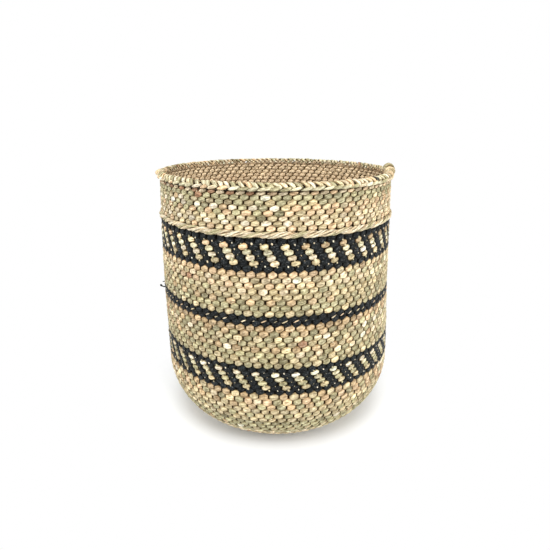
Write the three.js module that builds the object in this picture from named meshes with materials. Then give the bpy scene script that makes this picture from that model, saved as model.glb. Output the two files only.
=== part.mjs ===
// A round basket twined from grass: weft strands laid in rows round hidden stakes, two checked dark
// bands, a dark stripe, a thick two-ply ridge cord and a plaited border with tied-off ends.
// Millimetres, +Z up. The origin is the centre of the flat underside.
import * as THREE from "three";

// Outline of the finished basket
const RIM_RADIUS = 105;
const BELLY_RADIUS = 109.8; // at half height
const FOOT_RADIUS = 113.2; // where the wall would meet the floor if it ran straight down
const BASE_RADIUS = 52.5; // flat underside
const HEIGHT = 242.6; // floor to the top of the border
const HEEL_HEIGHT = 63.3;
const HEEL_POWER = 1.957; // 2 is a quarter ellipse, less is leaner
const WALL_THICKNESS = 4.4;

// Rows of weft
const STAKES = 84; // lozenges in one row
const GROOVE_DEPTH = 0.8; // between two rows of weft
const SEAT_GAP = 0.3; // between pieces that are packed against each other
const TOP_PITCH = 3.6;
const UPPER_BAND_PITCH = 4.31;
const UPPER_MIDDLE_PITCH = 4.54;
const STRIPE_PITCH = 3.95;
const LOWER_MIDDLE_PITCH = 4.66;
const LOWER_BAND_PITCH = 4;
const HEEL_PITCH = 4.7;
const HEEL_TURN_ROWS = 11; // rows of the heel that turn in under the basket
const BASE_PITCH = 6.4;

// The start: the first rounds in the middle of the base, with the stakes crossing on top of them
const START_RADIUS = 14;
const START_THICKNESS = 2.6;
const STAKE_WIDTH = 2.2;
const STAKE_HEIGHT = 1.5;
const STAKES_PER_BUNDLE = 4;
const BUNDLE_LENGTH = 24;

// Ridge cord: two strands twisted round each other
const CORD_HEIGHT = 5.3;
const CORD_CLEARANCE = 0.25; // from the middle of the cord to the flat of a strand
const CORD_TWISTS = 21;
const CORD_PROUD = 1.3; // how far the cord stands out of the wall

// Border
const BORDER_HEIGHT = 6.6;
const BORDER_THICKNESS = 6.4;
const BORDER_RELIEF = 0.8; // depth between two border strands

// Tied-off ends over the border, and the cut tail of a dark weft strand
const RIGHT_ARCH = { width: 4.6, thickness: 4.6, lean: 2 };
const RIGHT_WRAP = { width: 6.5, thickness: 3.4, lean: 6 };
const LEFT_STRAP = { width: 7, thickness: 2.6, lean: 5 };
const TIE_SPACING = 8.2; // from the arch to the wrap beside it, along the border
const TIE_CLEARANCE = 0.8; // between a tie and the strands of the border
const TAIL_DIAMETER = 1.8;
const TAIL_REACH = 4.4;
const TAIL_RISE = 3.6;

const SEGMENTS = 26;
const TAIL_TURN = (2 * Math.PI) / SEGMENTS; // from -X towards the front, to the wall's next corner

const STRAW = { color: 0xcdbf9f, roughness: 0.82 };
const GREEN_STRAW = { color: 0xb3ac8b, roughness: 0.84 };
const TAN_STRAW = { color: 0xb8a07c, roughness: 0.84 };
const BLACK_STRAW = { color: 0x1d1e22, roughness: 0.75 };

// Courses from the border down, after which the heel and the base take what is left
const COURSES = [
  { name: "top_weave", rows: 8, pitch: TOP_PITCH, finish: GREEN_STRAW },
  { name: "ridge_cord", rows: 1, pitch: CORD_HEIGHT },
  { name: "upper_band_top_edge", rows: 1, pitch: UPPER_BAND_PITCH, finish: BLACK_STRAW },
  { name: "upper_band_checks", rows: 4, pitch: UPPER_BAND_PITCH, finish: STRAW },
  { name: "upper_band_bottom_edge", rows: 1, pitch: UPPER_BAND_PITCH, finish: BLACK_STRAW },
  { name: "upper_middle_weave", rows: 8, pitch: UPPER_MIDDLE_PITCH, finish: TAN_STRAW },
  { name: "stripe_top_row", rows: 1, pitch: STRIPE_PITCH, finish: BLACK_STRAW },
  { name: "stripe_bottom_row", rows: 1, pitch: STRIPE_PITCH, finish: BLACK_STRAW },
  { name: "lower_middle_weave", rows: 8, pitch: LOWER_MIDDLE_PITCH, finish: STRAW },
  { name: "lower_band_top_edge", rows: 1, pitch: LOWER_BAND_PITCH, finish: BLACK_STRAW },
  { name: "lower_band_checks", rows: 4, pitch: LOWER_BAND_PITCH, finish: STRAW },
  { name: "lower_band_bottom_edge", rows: 1, pitch: LOWER_BAND_PITCH, finish: BLACK_STRAW },
];

const basket = new THREE.Group();

function addPiece(name, geometry, finish) {
  const material = new THREE.MeshStandardMaterial({ ...finish, metalness: 0 });
  const mesh = new THREE.Mesh(geometry, material);
  mesh.name = name;
  basket.add(mesh);
  return mesh;
}

// Radius of the outer face at height z: a parabola through the foot, the belly and the rim
function wallRadius(z) {
  const t = z / HEIGHT;
  const bow = 4 * BELLY_RADIUS - 2 * (FOOT_RADIUS + RIM_RADIUS);
  return FOOT_RADIUS + (RIM_RADIUS - FOOT_RADIUS) * t + bow * t * (1 - t);
}

// The outline from the start in the middle of the underside, round the heel and up to the rim
function makeOutline() {
  const points = [new THREE.Vector2(START_RADIUS, 0)];
  const heelSteps = 48;
  for (let i = 0; i <= heelSteps; i++) {
    const turn = ((i / heelSteps) * Math.PI) / 2;
    const z = HEEL_HEIGHT * (1 - Math.cos(turn) ** (2 / HEEL_POWER));
    const reach = Math.sin(turn) ** (2 / HEEL_POWER);
    points.push(new THREE.Vector2(BASE_RADIUS + (wallRadius(z) - BASE_RADIUS) * reach, z));
  }
  const wallSteps = 40;
  for (let i = 1; i <= wallSteps; i++) {
    const z = HEEL_HEIGHT + ((HEIGHT - HEEL_HEIGHT) * i) / wallSteps;
    points.push(new THREE.Vector2(wallRadius(z), z));
  }
  return new THREE.Path().setFromPoints(points);
}

const outline = makeOutline();
const outlineLength = outline.getLength();

// The point at distance s along the outline, set in from the outer face by depth
function wallPoint(s, depth) {
  const u = THREE.MathUtils.clamp(s / outlineLength, 0, 1);
  const point = outline.getPointAt(u);
  const along = outline.getTangentAt(u);
  return new THREE.Vector2(point.x - depth * along.y, point.y + depth * along.x);
}

// A closed (radius, height) profile turned about the Z axis, with a corner at +X
function turned(profile) {
  const ring = new THREE.LatheGeometry([...profile, profile[0]], SEGMENTS);
  return ring.rotateX(Math.PI / 2).rotateZ(Math.PI / 2);
}

// Rows of weft between two places on the outline. Each row is a rib, flat on top over crest times
// its pitch, and grooves part the rows. The inner face has a bend every few rows.
function ribbedCourse(from, to, rows, crest, rowsPerBend) {
  const pitch = (to - from) / rows;
  const start = from + SEAT_GAP / 2;
  const end = to - SEAT_GAP / 2;
  const profile = [wallPoint(start, GROOVE_DEPTH)];
  for (let row = 0; row < rows; row++) {
    const middle = from + (row + 0.5) * pitch;
    if (crest > 0) profile.push(wallPoint(middle - (crest * pitch) / 2, 0));
    profile.push(wallPoint(middle + (crest * pitch) / 2, 0));
    profile.push(wallPoint(row < rows - 1 ? middle + pitch / 2 : end, GROOVE_DEPTH));
  }
  const bends = Math.max(1, Math.round(rows / rowsPerBend));
  for (let i = bends; i >= 0; i--)
    profile.push(wallPoint(start + ((end - start) * i) / bends, WALL_THICKNESS));
  return turned(profile);
}

// A solid skinned over sections of points, which run clockwise seen from the next section. A loop
// joins the last section to the first, and otherwise the ends are closed.
function skinned(sections, isLoop) {
  const sides = sections[0].length;
  const faces = [];
  const spans = isLoop ? sections.length : sections.length - 1;
  for (let i = 0; i < spans; i++) {
    const here = i * sides;
    const next = ((i + 1) % sections.length) * sides;
    for (let k = 0; k < sides; k++) {
      const k2 = (k + 1) % sides;
      faces.push(here + k, next + k, next + k2, here + k, next + k2, here + k2);
    }
  }
  const last = (sections.length - 1) * sides;
  for (let k = 1; k < sides - 1 && !isLoop; k++)
    faces.push(0, k, k + 1, last, last + k + 1, last + k);
  const geometry = new THREE.BufferGeometry().setFromPoints(sections.flat());
  geometry.setIndex(faces);
  geometry.computeVertexNormals();
  return geometry;
}

// A point at radius r and height z, turned about the Z axis
function polar(r, angle, z) {
  return new THREE.Vector3(r * Math.cos(angle), r * Math.sin(angle), z);
}

// The ridge cord: each strand's section is an oval pressed flat against the other strand, and the
// pair turns about the middle of the cord
function addRidgeCord(from, to) {
  const stepsPerTwist = 6;
  const sides = 5;
  const ovalWidth = 0.8; // as a share of the cord's height
  const steps = CORD_TWISTS * stepsPerTwist;
  const envelope = (to - from - SEAT_GAP) / 2;
  const centre = wallPoint((from + to) / 2, 0);
  const radius = centre.x + CORD_PROUD - envelope;
  const halfDepth = (envelope - CORD_CLEARANCE) / 2;
  const halfWidth = envelope * ovalWidth;
  ["ridge_cord_pale_strand", "ridge_cord_green_strand"].forEach((name, strand) => {
    const sections = [];
    for (let step = 0; step < steps; step++) {
      const turn = (step / stepsPerTwist + strand / 2) * 2 * Math.PI;
      const section = [];
      for (let k = 0; k < sides; k++) {
        const a = ((k + 0.5) / sides) * 2 * Math.PI;
        const x = CORD_CLEARANCE + halfDepth * (1 - Math.cos(a));
        const y = -halfWidth * Math.sin(a);
        const r = radius + x * Math.cos(turn) - y * Math.sin(turn);
        const z = centre.y + x * Math.sin(turn) + y * Math.cos(turn);
        section.push(polar(r, (step / steps) * 2 * Math.PI, z));
      }
      sections.push(section);
    }
    addPiece(name, skinned(sections, true), strand ? GREEN_STRAW : STRAW);
  });
}

function borderRadius() {
  return wallRadius(HEIGHT - BORDER_HEIGHT / 2) - WALL_THICKNESS / 2;
}

// The border: stake ends turned down and plaited. Its strands lean one way up the outside and
// the other way over the top, which reads as a herringbone.
function plaitedBorder() {
  const lean = [0.1, -0.7, -0.7, 0, 0.9]; // in strands: top, inner two, outer two
  const sides = lean.length;
  const rise = (BORDER_HEIGHT - SEAT_GAP) / (1 + Math.cos(Math.PI / sides)); // stands on a flat side
  const reach = BORDER_THICKNESS / 2 / Math.sin((2 * Math.PI) / sides);
  const sections = [];
  for (let step = 0; step < 2 * STAKES; step++) {
    const groove = step % 2 ? BORDER_RELIEF : 0;
    const section = lean.map((shift, k) => {
      const a = Math.PI / 2 + (k / sides) * 2 * Math.PI;
      const r = borderRadius() + (reach - groove) * Math.cos(a);
      const z = HEIGHT - rise + (rise - (Math.sin(a) > 0 ? groove : 0)) * Math.sin(a);
      return polar(r, ((step / 2 + shift) / STAKES) * 2 * Math.PI, z);
    });
    sections.push(section);
  }
  return skinned(sections, true);
}

// A strand or strap of oval section that comes up outside the border, over it and down inside,
// and leans along it
function tieOverBorder({ width, thickness, lean }, turn) {
  const steps = 10;
  const sides = 8;
  const outerEnd = -0.3 * Math.PI;
  const innerEnd = 1.25 * Math.PI;
  const stand = TIE_CLEARANCE + thickness / 2;
  const pointAt = (t, out) => {
    const a = THREE.MathUtils.lerp(outerEnd, innerEnd, t);
    const r = borderRadius() + (BORDER_THICKNESS / 2 + stand + out) * Math.cos(a);
    const z = HEIGHT - BORDER_HEIGHT / 2 + (BORDER_HEIGHT / 2 + stand + out) * Math.sin(a);
    return polar(r, turn + (lean * (t - 0.5)) / RIM_RADIUS, z);
  };
  const sections = [];
  for (let step = 0; step <= steps; step++) {
    const t = step / steps;
    const middle = pointAt(t, 0);
    const outward = pointAt(t, 1).sub(middle);
    const along = pointAt(t + 0.01, 0).sub(pointAt(t - 0.01, 0)).normalize();
    const across = new THREE.Vector3().crossVectors(outward, along);
    const section = [];
    for (let k = 0; k < sides; k++) {
      const a = (k / sides) * 2 * Math.PI;
      const point = middle.clone().addScaledVector(outward, (Math.cos(a) * thickness) / 2);
      section.push(point.addScaledVector(across, (Math.sin(a) * width) / 2));
    }
    sections.push(section);
  }
  return skinned(sections, false);
}

// A flat bundle of stakes: round backs side by side, extruded along +X and centred
function stakeBundle() {
  const half = (STAKES_PER_BUNDLE * STAKE_WIDTH) / 2;
  const shape = new THREE.Shape().moveTo(half, 0);
  for (let i = 0; i < STAKES_PER_BUNDLE; i++) {
    const middle = half - (i + 0.5) * STAKE_WIDTH;
    shape.absellipse(middle, STAKE_HEIGHT / 3, STAKE_WIDTH / 2, (STAKE_HEIGHT * 2) / 3, 0, Math.PI, false, 0);
  }
  shape.lineTo(-half, 0);
  const options = { depth: BUNDLE_LENGTH, bevelEnabled: false, curveSegments: 4 };
  const bundle = new THREE.ExtrudeGeometry(shape, options);
  return bundle.translate(0, 0, -BUNDLE_LENGTH / 2).rotateX(Math.PI / 2).rotateZ(Math.PI / 2);
}

// A flat round middle with one rib round it
function startDisc() {
  const edge = START_RADIUS - SEAT_GAP / 2;
  const middle = edge / 2;
  const slope = edge / 12; // width of one side of a groove
  const profile = [
    new THREE.Vector2(0, 0),
    new THREE.Vector2(middle, 0),
    new THREE.Vector2(middle + slope, GROOVE_DEPTH),
    new THREE.Vector2(middle + 2 * slope, 0),
    new THREE.Vector2(edge - slope, 0),
    new THREE.Vector2(edge, GROOVE_DEPTH),
    new THREE.Vector2(edge, START_THICKNESS),
    new THREE.Vector2(0, START_THICKNESS),
  ];
  return turned(profile);
}

// The cut end of a dark strand, sticking out of the stripe and bending up
function darkTail(s) {
  const root = wallPoint(s, 0);
  const start = root.x + SEAT_GAP;
  const path = new THREE.CatmullRomCurve3([
    new THREE.Vector3(start, 0, root.y),
    new THREE.Vector3(start + TAIL_REACH * 0.5, 0, root.y + TAIL_RISE * 0.2),
    new THREE.Vector3(start + TAIL_REACH, 0, root.y + TAIL_RISE),
  ]);
  const section = new THREE.Shape().absarc(0, 0, TAIL_DIAMETER / 2, 0, 2 * Math.PI);
  return new THREE.ExtrudeGeometry(section, {
    steps: 5,
    curveSegments: 6,
    bevelEnabled: false,
    extrudePath: path,
  });
}

addPiece("border_plait", plaitedBorder(), STRAW);

let level = outlineLength - BORDER_HEIGHT;
for (const course of COURSES) {
  const below = level - course.rows * course.pitch;
  if (course.name === "ridge_cord") addRidgeCord(below, level);
  else addPiece(course.name, ribbedCourse(below, level, course.rows, 0, course.rows), course.finish);
  if (course.name === "stripe_top_row") {
    const tail = addPiece("dark_weft_tail", darkTail(level - course.pitch / 2), BLACK_STRAW);
    tail.rotation.z = Math.PI + TAIL_TURN;
  }
  level = below;
}

const heelStart = BASE_RADIUS - START_RADIUS;
const heelRows = Math.round((level - heelStart) / HEEL_PITCH);
const turnEnd = heelStart + ((level - heelStart) * HEEL_TURN_ROWS) / heelRows;
addPiece("heel_side_weave", ribbedCourse(turnEnd, level, heelRows - HEEL_TURN_ROWS, 0, 5), GREEN_STRAW);
addPiece("heel_turn_weave", ribbedCourse(heelStart, turnEnd, HEEL_TURN_ROWS, 0, 4), GREEN_STRAW);
const baseRows = Math.round(heelStart / BASE_PITCH);
addPiece("base_weave", ribbedCourse(0, heelStart, baseRows, 0.5, baseRows), STRAW);

addPiece("base_start", startDisc(), STRAW);
const lowerBundle = addPiece("start_lower_stakes", stakeBundle(), TAN_STRAW);
lowerBundle.position.z = START_THICKNESS + SEAT_GAP;
const upperBundle = addPiece("start_upper_stakes", stakeBundle(), TAN_STRAW);
upperBundle.position.z = lowerBundle.position.z + STAKE_HEIGHT + SEAT_GAP;
upperBundle.rotation.z = Math.PI / 2;

const halfSpacing = TIE_SPACING / 2 / RIM_RADIUS;
addPiece("right_tie_arch", tieOverBorder(RIGHT_ARCH, halfSpacing), GREEN_STRAW);
addPiece("right_tie_wrap", tieOverBorder(RIGHT_WRAP, -halfSpacing), STRAW);
addPiece("left_tie_strap", tieOverBorder(LEFT_STRAP, Math.PI), STRAW);

export default basket;
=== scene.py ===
import math

import bpy
import numpy as np
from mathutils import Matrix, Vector


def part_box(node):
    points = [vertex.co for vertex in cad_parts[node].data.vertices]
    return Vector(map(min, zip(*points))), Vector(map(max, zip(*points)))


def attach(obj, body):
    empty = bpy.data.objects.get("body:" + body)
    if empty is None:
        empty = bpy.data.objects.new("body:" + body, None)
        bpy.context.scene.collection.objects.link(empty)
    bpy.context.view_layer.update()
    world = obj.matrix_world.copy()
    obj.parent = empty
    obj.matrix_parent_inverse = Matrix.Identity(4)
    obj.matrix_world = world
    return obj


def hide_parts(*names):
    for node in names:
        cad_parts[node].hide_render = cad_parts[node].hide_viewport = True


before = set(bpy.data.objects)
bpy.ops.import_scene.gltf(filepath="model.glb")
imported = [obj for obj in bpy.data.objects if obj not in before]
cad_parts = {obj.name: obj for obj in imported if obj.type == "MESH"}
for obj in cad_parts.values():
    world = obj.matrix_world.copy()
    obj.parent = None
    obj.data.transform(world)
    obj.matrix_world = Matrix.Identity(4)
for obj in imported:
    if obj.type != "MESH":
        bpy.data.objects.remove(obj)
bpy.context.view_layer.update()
rng = np.random.default_rng(41)

# The outline that the wall follows, in metres; heights and courses come from the frame
outlineSizes = {
    "rimRadius": 0.105,
    "bellyRadius": 0.1098,
    "footRadius": 0.1132,
    "baseRadius": 0.0525,
    "heelHeight": 0.0633,
    "heelPower": 1.957,
    "wallThickness": 0.0044,
    "lean": 0.0024,
    "leanHeight": 0.165,
}
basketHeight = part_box("border_plait")[1].z
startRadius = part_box("base_start")[1].x

# Grass colours, as they look, with the painted shade of the gaps and the grey of the painted glints
grass = {
    "white": (0.98, 0.935, 0.83),
    "cream": (0.935, 0.865, 0.73),
    "peach": (0.925, 0.805, 0.65),
    "straw": (0.86, 0.795, 0.64),
    "khaki": (0.80, 0.74, 0.59),
    "tan": (0.80, 0.70, 0.55),
    "green": (0.735, 0.71, 0.56),
    "paleGreen": (0.88, 0.855, 0.72),
    "greyGreen": (0.67, 0.64, 0.50),
    "brown": (0.72, 0.625, 0.48),
    "redBrown": (0.72, 0.56, 0.44),
    # the inner faces' tint: partly the grass's own warmer inner side, partly painted light that brightens
    # the shaded inside of the basket
    "inside": (1.0, 0.895, 0.745),
    # painted shade: a near-black brown for the stakes and the border's core, which show only in the shaded
    # gaps
    "gapShade": (0.17, 0.12, 0.06),
    # painted highlight: the grey of the glints painted along the dark grass
    "glint": (0.36, 0.37, 0.37),
    "black": (0.10, 0.12, 0.13),
}


def linear(colour):
    c = np.clip(np.array(colour, float), 0, 1)
    return np.where(c <= 0.04045, c / 12.92, ((c + 0.055) / 1.055) ** 2.4)


def wallRadius(z):
    o = outlineSizes
    t = z / basketHeight
    bow = 4 * o["bellyRadius"] - 2 * (o["footRadius"] + o["rimRadius"])
    return o["footRadius"] + (o["rimRadius"] - o["footRadius"]) * t + bow * t * (1 - t)


def traceOutline():
    o = outlineSizes
    base = [(r, 0.0) for r in np.linspace(0, o["baseRadius"], 60, endpoint=False)]
    heel = []
    for turn in np.linspace(0, math.pi / 2, 200):
        z = o["heelHeight"] * (1 - math.cos(turn) ** (2 / o["heelPower"]))
        reach = math.sin(turn) ** (2 / o["heelPower"])
        heel.append((o["baseRadius"] + (wallRadius(z) - o["baseRadius"]) * reach, z))
    wall = [(wallRadius(z), z) for z in np.linspace(o["heelHeight"], basketHeight, 200)[1:]]
    points = np.array(base + heel + wall)
    steps = np.linalg.norm(np.diff(points, axis=0), axis=1)
    return points, np.concatenate([[0], np.cumsum(steps)])


outlinePoints, outlineRun = traceOutline()


def wallPlace(run, depth=0.0):
    # radius, height and the outward normal (radial, vertical) at a distance along the outline, at a
    # depth in from it
    def at(x):
        return np.array([np.interp(x, outlineRun, outlinePoints[:, i]) for i in (0, 1)])

    r, z = at(run)
    tr, tz = at(run + 0.0008) - at(run - 0.0008)
    length = np.hypot(tr, tz)
    normalR, normalZ = tz / length, -tr / length
    return r - normalR * depth, z - normalZ * depth, normalR, normalZ


def bodyLean(z):
    # the lower half has settled a little to the right
    t = np.clip(1 - z / outlineSizes["leanHeight"], 0, 1)
    return outlineSizes["lean"] * (1 - np.cos(1.5 * math.pi * t)) / 2


def runAtHeight(z):
    firstHeel = np.searchsorted(outlinePoints[:, 1], 1e-9)
    return float(np.interp(z, outlinePoints[firstHeel - 1:, 1], outlineRun[firstHeel - 1:]))


# Node helpers
def newTree(name, kind, inputs, outputs):
    # inputs and outputs: the names of the sockets of each kind
    tree = bpy.data.node_groups.new(name, kind)
    for side, sockets in (("INPUT", inputs), ("OUTPUT", outputs)):
        for socketKind, labels in sockets.items():
            for label in labels:
                tree.interface.new_socket(label, in_out=side, socket_type="NodeSocket" + socketKind)
    return tree


def addNode(tree, kind, values=None, **settings):
    node = tree.nodes.new(kind)
    for key, value in settings.items():
        setattr(node, key, value)
    for key, value in (values or {}).items():
        if isinstance(value, bpy.types.NodeSocket):
            tree.links.new(value, node.inputs[key])
        else:
            node.inputs[key].default_value = value
    return node


def maths(tree, operation, *values):
    return addNode(tree, "ShaderNodeMath", dict(enumerate(values)), operation=operation).outputs[0]


def times(tree, first, second):
    return maths(tree, "MULTIPLY", first, second)


def plus(tree, first, second):
    return maths(tree, "ADD", first, second)


def minus(tree, first, second):
    return maths(tree, "SUBTRACT", first, second)


def vectors(tree, operation, *values):
    return addNode(tree, "ShaderNodeVectorMath", dict(enumerate(values)), operation=operation).outputs[0]


def scaled(tree, vector, size):
    return addNode(tree, "ShaderNodeVectorMath", {0: vector, "Scale": size}, operation="SCALE").outputs[0]


def separate(tree, vector):
    return addNode(tree, "ShaderNodeSeparateXYZ", {0: vector}).outputs


def combine(tree, *values):
    return addNode(tree, "ShaderNodeCombineXYZ", dict(enumerate(values))).outputs[0]


def ramp(tree, value, low, high, toLow=0.0, toHigh=1.0):
    node = addNode(tree, "ShaderNodeMapRange", {
        "Value": value, "From Min": low, "From Max": high, "To Min": toLow, "To Max": toHigh,
    }, clamp=True)
    return node.outputs[0]


def wobble(tree, place, scale, seed, amount):
    # smooth noise either side of zero
    values = {"Vector": place, "Scale": scale, "Detail": 1.0, "W": seed}
    noise = addNode(tree, "ShaderNodeTexNoise", values, noise_dimensions="4D").outputs[0]
    return times(tree, minus(tree, noise, 0.5), amount)


def readAttribute(tree, name, kind="FLOAT"):
    node = addNode(tree, "GeometryNodeInputNamedAttribute", {"Name": name}, data_type=kind)
    return node.outputs["Attribute"]


def readVector(tree, name):
    return readAttribute(tree, name, "FLOAT_VECTOR")


def storeAttribute(tree, geometry, name, value, kind="FLOAT"):
    values = {"Geometry": geometry, "Name": name, "Value": value}
    return addNode(tree, "GeometryNodeStoreNamedAttribute", values, data_type=kind).outputs[0]


def storeVector(tree, geometry, name, value):
    return storeAttribute(tree, geometry, name, value, "FLOAT_VECTOR")


def currentPlace(tree):
    return addNode(tree, "GeometryNodeInputPosition").outputs[0]


def skinStrands(tree, given, curve):
    # a tube along each curve: every point of its section keeps its place there as an attribute, and
    # is put where the half widths stored on the curve say
    circle = addNode(tree, "GeometryNodeCurvePrimitiveCircle", {"Resolution": given["sides"], "Radius": 1.0})
    section = storeVector(tree, circle.outputs[0], "sectionPlace", currentPlace(tree))
    values = {"Curve": curve, "Profile Curve": section, "Fill Caps": True}
    tube = addNode(tree, "GeometryNodeCurveToMesh", values).outputs[0]
    parts = separate(tree, readVector(tree, "sectionPlace"))
    out = scaled(tree, readVector(tree, "halfOut"), parts[0])
    up = scaled(tree, readVector(tree, "halfUp"), parts[1])
    place = vectors(tree, "ADD", readVector(tree, "centre"), vectors(tree, "ADD", out, up))
    tube = addNode(tree, "GeometryNodeSetPosition", {"Geometry": tube, "Position": place}).outputs[0]
    tube = addNode(tree, "GeometryNodeFlipFaces", {"Mesh": tube}).outputs[0]
    tube = addNode(tree, "GeometryNodeSetShadeSmooth", {"Geometry": tube}).outputs[0]
    values = {"Geometry": tube, "Material": given["material"]}
    painted = addNode(tree, "GeometryNodeSetMaterial", values).outputs[0]
    tree.links.new(painted, addNode(tree, "NodeGroupOutput").inputs[0])
    return tree


# How a strand of weft swings through a row: low powers make it dive sharply and stay full between
# the dives; the scales say how fine its irregularities are
weftShape = {
    "divePower": 0.2,
    "swellPower": 0.6,
    "buriedPower": 0.5,
    "wanderScale": 110.0,
    "rippleScale": 70.0,
    "lumpScale": 260.0,
}


def buildTwiningTree():
    # One strand of a twined pair, row by row: it runs outside one stake, dives between two, runs
    # inside the next and comes back. Its partner is the same strand one stake further on.
    tree = newTree("twinedStrand", "GeometryNodeTree", {
        "Geometry": ["guides"],
        "Int": ["stepsPerLozenge", "sides"],
        "Float": ["rowOverlap", "thickness", "depth", "lean", "endWidth", "pinch", "wander", "uneven",
                  "ripple", "partner", "seed"],
        "Material": ["material"],
    }, {"Geometry": ["strands"]})
    given = addNode(tree, "NodeGroupInput").outputs
    rows = addNode(tree, "GeometryNodeMeshToCurve", {"Mesh": given["guides"]}).outputs[0]
    lozenges = readAttribute(tree, "lozenges")
    count = times(tree, lozenges, given["stepsPerLozenge"])
    rows = addNode(tree, "GeometryNodeResampleCurve", {"Curve": rows, "Count": count}).outputs[0]

    place = currentPlace(tree)
    parts = separate(tree, place)
    x, y = parts[0], parts[1]
    angle = maths(tree, "ARCTAN2", x, times(tree, y, -1.0))
    radius = maths(tree, "SQRT", plus(tree, times(tree, x, x), times(tree, y, y)))
    seed = given["seed"]
    wander = wobble(tree, place, weftShape["wanderScale"], seed, given["wander"])
    ripple = wobble(tree, place, weftShape["rippleScale"], plus(tree, seed, 7.0), given["ripple"])
    seed = plus(tree, seed, given["partner"])
    lumps = wobble(tree, place, weftShape["lumpScale"], seed, given["uneven"])

    half = times(tree, lozenges, 0.5)
    phase = maths(tree, "MULTIPLY_ADD", angle, half, readAttribute(tree, "rowShift"))
    phase = maths(tree, "MULTIPLY_ADD", given["partner"], math.pi, plus(tree, phase, wander))
    # steps crowd where the strands cross
    crowd = maths(tree, "SINE", times(tree, phase, 2.0))
    crowd = times(tree, crowd, times(tree, given["pinch"], -1.0))
    phase = plus(tree, phase, crowd)
    turn = maths(tree, "DIVIDE", crowd, half)
    swing = maths(tree, "SINE", phase)
    size = maths(tree, "ABSOLUTE", swing)
    reach = times(tree, maths(tree, "POWER", size, weftShape["divePower"]), maths(tree, "SIGN", swing))
    reach = times(tree, reach, given["depth"])
    # it leans from one crossing to the next outside the wall, and runs level inside
    rise = times(tree, maths(tree, "COSINE", phase), times(tree, given["lean"], -1.0))
    isInside = times(tree, maths(tree, "LESS_THAN", swing, 0.0), times(tree, size, size))
    rise = plus(tree, times(tree, rise, minus(tree, 1.0, isInside)), ripple)
    swell = maths(tree, "POWER", size, weftShape["swellPower"])
    narrow = minus(tree, 1.0, given["endWidth"])
    full = maths(tree, "MULTIPLY_ADD", swell, narrow, given["endWidth"])
    full = times(tree, full, plus(tree, lumps, 1.0))

    outward, upward = readVector(tree, "outward"), readVector(tree, "upward")
    tangent = combine(tree, times(tree, y, -1.0), x)
    centre = place
    for direction, distance in ((outward, reach), (upward, rise), (tangent, turn)):
        centre = vectors(tree, "ADD", centre, scaled(tree, direction, distance))
    angle = plus(tree, angle, turn)
    run = maths(tree, "MULTIPLY_ADD", angle, radius, readAttribute(tree, "rowShift"))
    # how far the strand has dived, from which the materials paint shade
    buried = minus(tree, 1.0, maths(tree, "POWER", size, weftShape["buriedPower"]))
    halfThick = times(tree, full, times(tree, given["thickness"], 0.5))
    high = times(tree, readAttribute(tree, "rowPitch"), given["rowOverlap"])
    halfHigh = times(tree, full, times(tree, high, 0.5))
    rows = storeAttribute(tree, rows, "along", run)
    rows = storeAttribute(tree, rows, "buried", buried)
    rows = storeVector(tree, rows, "halfOut", scaled(tree, outward, halfThick))
    rows = storeVector(tree, rows, "halfUp", scaled(tree, upward, halfHigh))
    rows = storeVector(tree, rows, "centre", centre)
    return skinStrands(tree, given, rows)


def buildBentTree():
    # A strand along each guide, with its section's two half widths given at every point
    tree = newTree("bentStrand", "GeometryNodeTree", {
        "Geometry": ["guides"],
        "Int": ["sides"],
        "Material": ["material"],
    }, {"Geometry": ["strands"]})
    given = addNode(tree, "NodeGroupInput").outputs
    path = addNode(tree, "GeometryNodeMeshToCurve", {"Mesh": given["guides"]}).outputs[0]
    return skinStrands(tree, given, storeVector(tree, path, "centre", currentPlace(tree)))


def addObject(name, data):
    item = bpy.data.objects.new(name, data)
    bpy.context.collection.objects.link(item)
    return item


def runTree(guides, tree, name, values):
    # sets the tree's inputs, evaluates it once and keeps the plain mesh
    guides.name = name + "Guides"
    modifier = guides.modifiers.new("build", "NODES")
    modifier.node_group = tree
    for socket in tree.interface.items_tree:
        if socket.name in values:
            modifier[socket.identifier] = values[socket.name]
    bpy.context.view_layer.update()
    graph = bpy.context.evaluated_depsgraph_get()
    mesh = bpy.data.meshes.new_from_object(guides.evaluated_get(graph))
    piece = addObject(name, mesh)
    guides.modifiers.remove(modifier)
    bpy.data.objects.remove(guides)
    points = np.empty(len(mesh.vertices) * 3)
    mesh.vertices.foreach_get("co", points)
    points[0::3] += bodyLean(points[2::3])
    mesh.vertices.foreach_set("co", points)
    for spare in ("outward", "upward", "halfOut", "halfUp", "centre", "rowShift", "rowPitch", "lozenges"):
        if spare in mesh.attributes:
            mesh.attributes.remove(mesh.attributes[spare])
    return piece


def makeGuides(strands):
    # strands: for each the points, their colours, whether it is a ring, and the attributes for its tree
    edgeShade = []
    done = 0
    for strand in strands:
        places = np.arange(len(strand["points"])) + done
        pairs = np.stack([places, np.roll(places, -1)], 1)
        edgeShade += list(map(tuple, pairs if strand.pop("isRing") else pairs[:-1]))
        done += len(places)
    values = {name: np.concatenate([strand[name] for strand in strands]) for name in strands[0]}
    mesh = bpy.data.meshes.new("guides")
    mesh.from_pydata(list(map(tuple, values.pop("points"))), edgeShade, [])
    rgba = np.concatenate([values.pop("colours"), np.ones((done, 1))], axis=1)
    mesh.attributes.new("strandColour", "FLOAT_COLOR", "POINT").data.foreach_set("color", np.ravel(rgba))
    for name, value in values.items():
        kind, field = ("FLOAT_VECTOR", "vector") if value.ndim == 2 else ("FLOAT", "value")
        mesh.attributes.new(name, kind, "POINT").data.foreach_set(field, np.ravel(value))
    return addObject("guides", mesh)


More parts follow.
